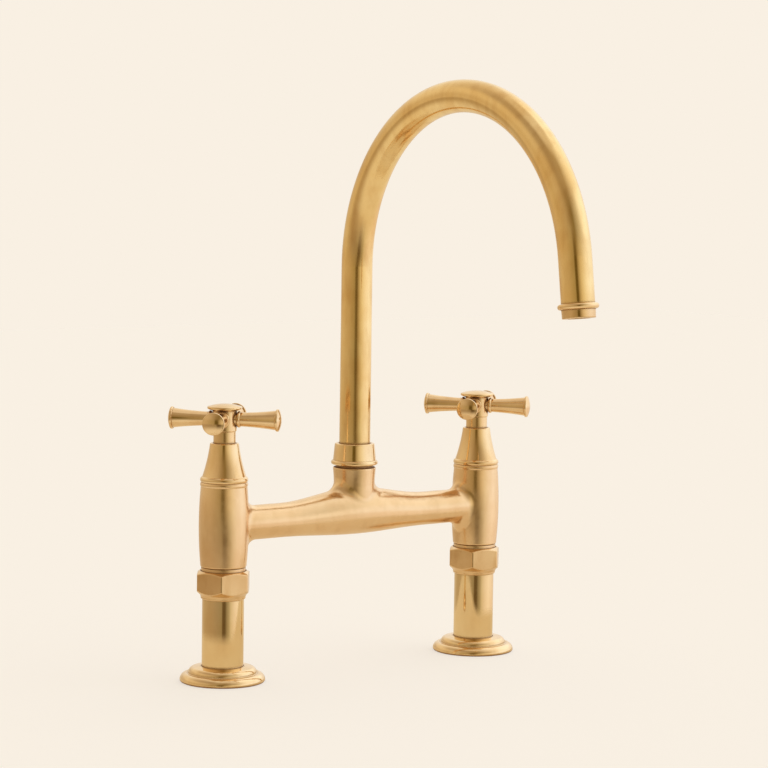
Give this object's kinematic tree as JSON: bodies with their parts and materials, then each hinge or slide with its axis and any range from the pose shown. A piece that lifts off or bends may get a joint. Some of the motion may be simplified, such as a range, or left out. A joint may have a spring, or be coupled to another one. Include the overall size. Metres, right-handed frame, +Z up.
{
  "type": "bridge kitchen faucet",
  "caption": "Deck-mounted bridge faucet with two cross handles on quarter-turn valves and a tall swivelling gooseneck spout, in satin brass.",
  "frame": {"origin": "on the deck's top plane, midway between the two columns and under the spout's riser", "axes": "+Z up from the deck, X along the bridge with the right-hand column on +X seen from the front, -Y the way the spout reaches at rest"},
  "size_m": [0.2635, 0.2646, 0.4393],
  "materials": {
    "satin_brass": "satin polish, lightly aged, no lacquer",
    "stainless_steel": "pressed and tumbled",
    "rubber": "moulded black EPDM",
    "ceramic": "lapped alumina",
    "acetal": "moulded"
  },
  "bodies": {
    "root": {"bridge_body": "satin_brass", "swivel_bush": "acetal", "spout_collar": "satin_brass", "left_flange": "satin_brass", "left_flange_gasket": "rubber", "left_leg": "satin_brass", "left_union_nut": "satin_brass", "left_union_washer": "rubber", "left_shank": "satin_brass", "left_deck_washer": "rubber", "left_clamp_washer": "stainless_steel", "left_mounting_nut": "satin_brass", "left_seat_seal": "rubber", "left_fixed_disc": "ceramic", "left_cartridge_body": "satin_brass", "left_bonnet": "satin_brass", "right_flange": "satin_brass", "right_flange_gasket": "rubber", "right_leg": "satin_brass", "right_union_nut": "satin_brass", "right_union_washer": "rubber", "right_shank": "satin_brass", "right_deck_washer": "rubber", "right_clamp_washer": "stainless_steel", "right_mounting_nut": "satin_brass", "right_seat_seal": "rubber", "right_fixed_disc": "ceramic", "right_cartridge_body": "satin_brass", "right_bonnet": "satin_brass"},
    "spout": {"spout_tube": "satin_brass", "spout_fitting": "satin_brass", "spout_o_rings": "rubber", "spout_clip": "stainless_steel", "outlet_ring": "satin_brass", "aerator_shell": "satin_brass", "aerator_insert": "acetal", "aerator_washer": "rubber"},
    "left_handle": {"left_handle_hub": "satin_brass", "left_handle_cap": "satin_brass", "left_handle_spokes": "satin_brass", "left_handle_screw": "stainless_steel", "left_spindle": "satin_brass", "left_spindle_o_rings": "rubber", "left_spindle_clip": "stainless_steel", "left_moving_disc": "ceramic"},
    "right_handle": {"right_handle_hub": "satin_brass", "right_handle_cap": "satin_brass", "right_handle_spokes": "satin_brass", "right_handle_screw": "stainless_steel", "right_spindle": "satin_brass", "right_spindle_o_rings": "rubber", "right_spindle_clip": "stainless_steel", "right_moving_disc": "ceramic"}
  },
  "joints": [
    {"name": "spout_swivel", "type": "hinge", "parent": "root", "child": "spout", "pos_m": [0, 0, 0.15], "axis": [0, 0, 1], "continuous": true},
    {"name": "left_handle_turn", "type": "hinge", "parent": "root", "child": "left_handle", "pos_m": [-0.1016, 0, 0.1676], "axis": [0, 0, 1], "range_deg": [0, 90]},
    {"name": "right_handle_turn", "type": "hinge", "parent": "root", "child": "right_handle", "pos_m": [0.1016, 0, 0.1676], "axis": [0, 0, 1], "range_deg": [-90, 0]}
  ]
}
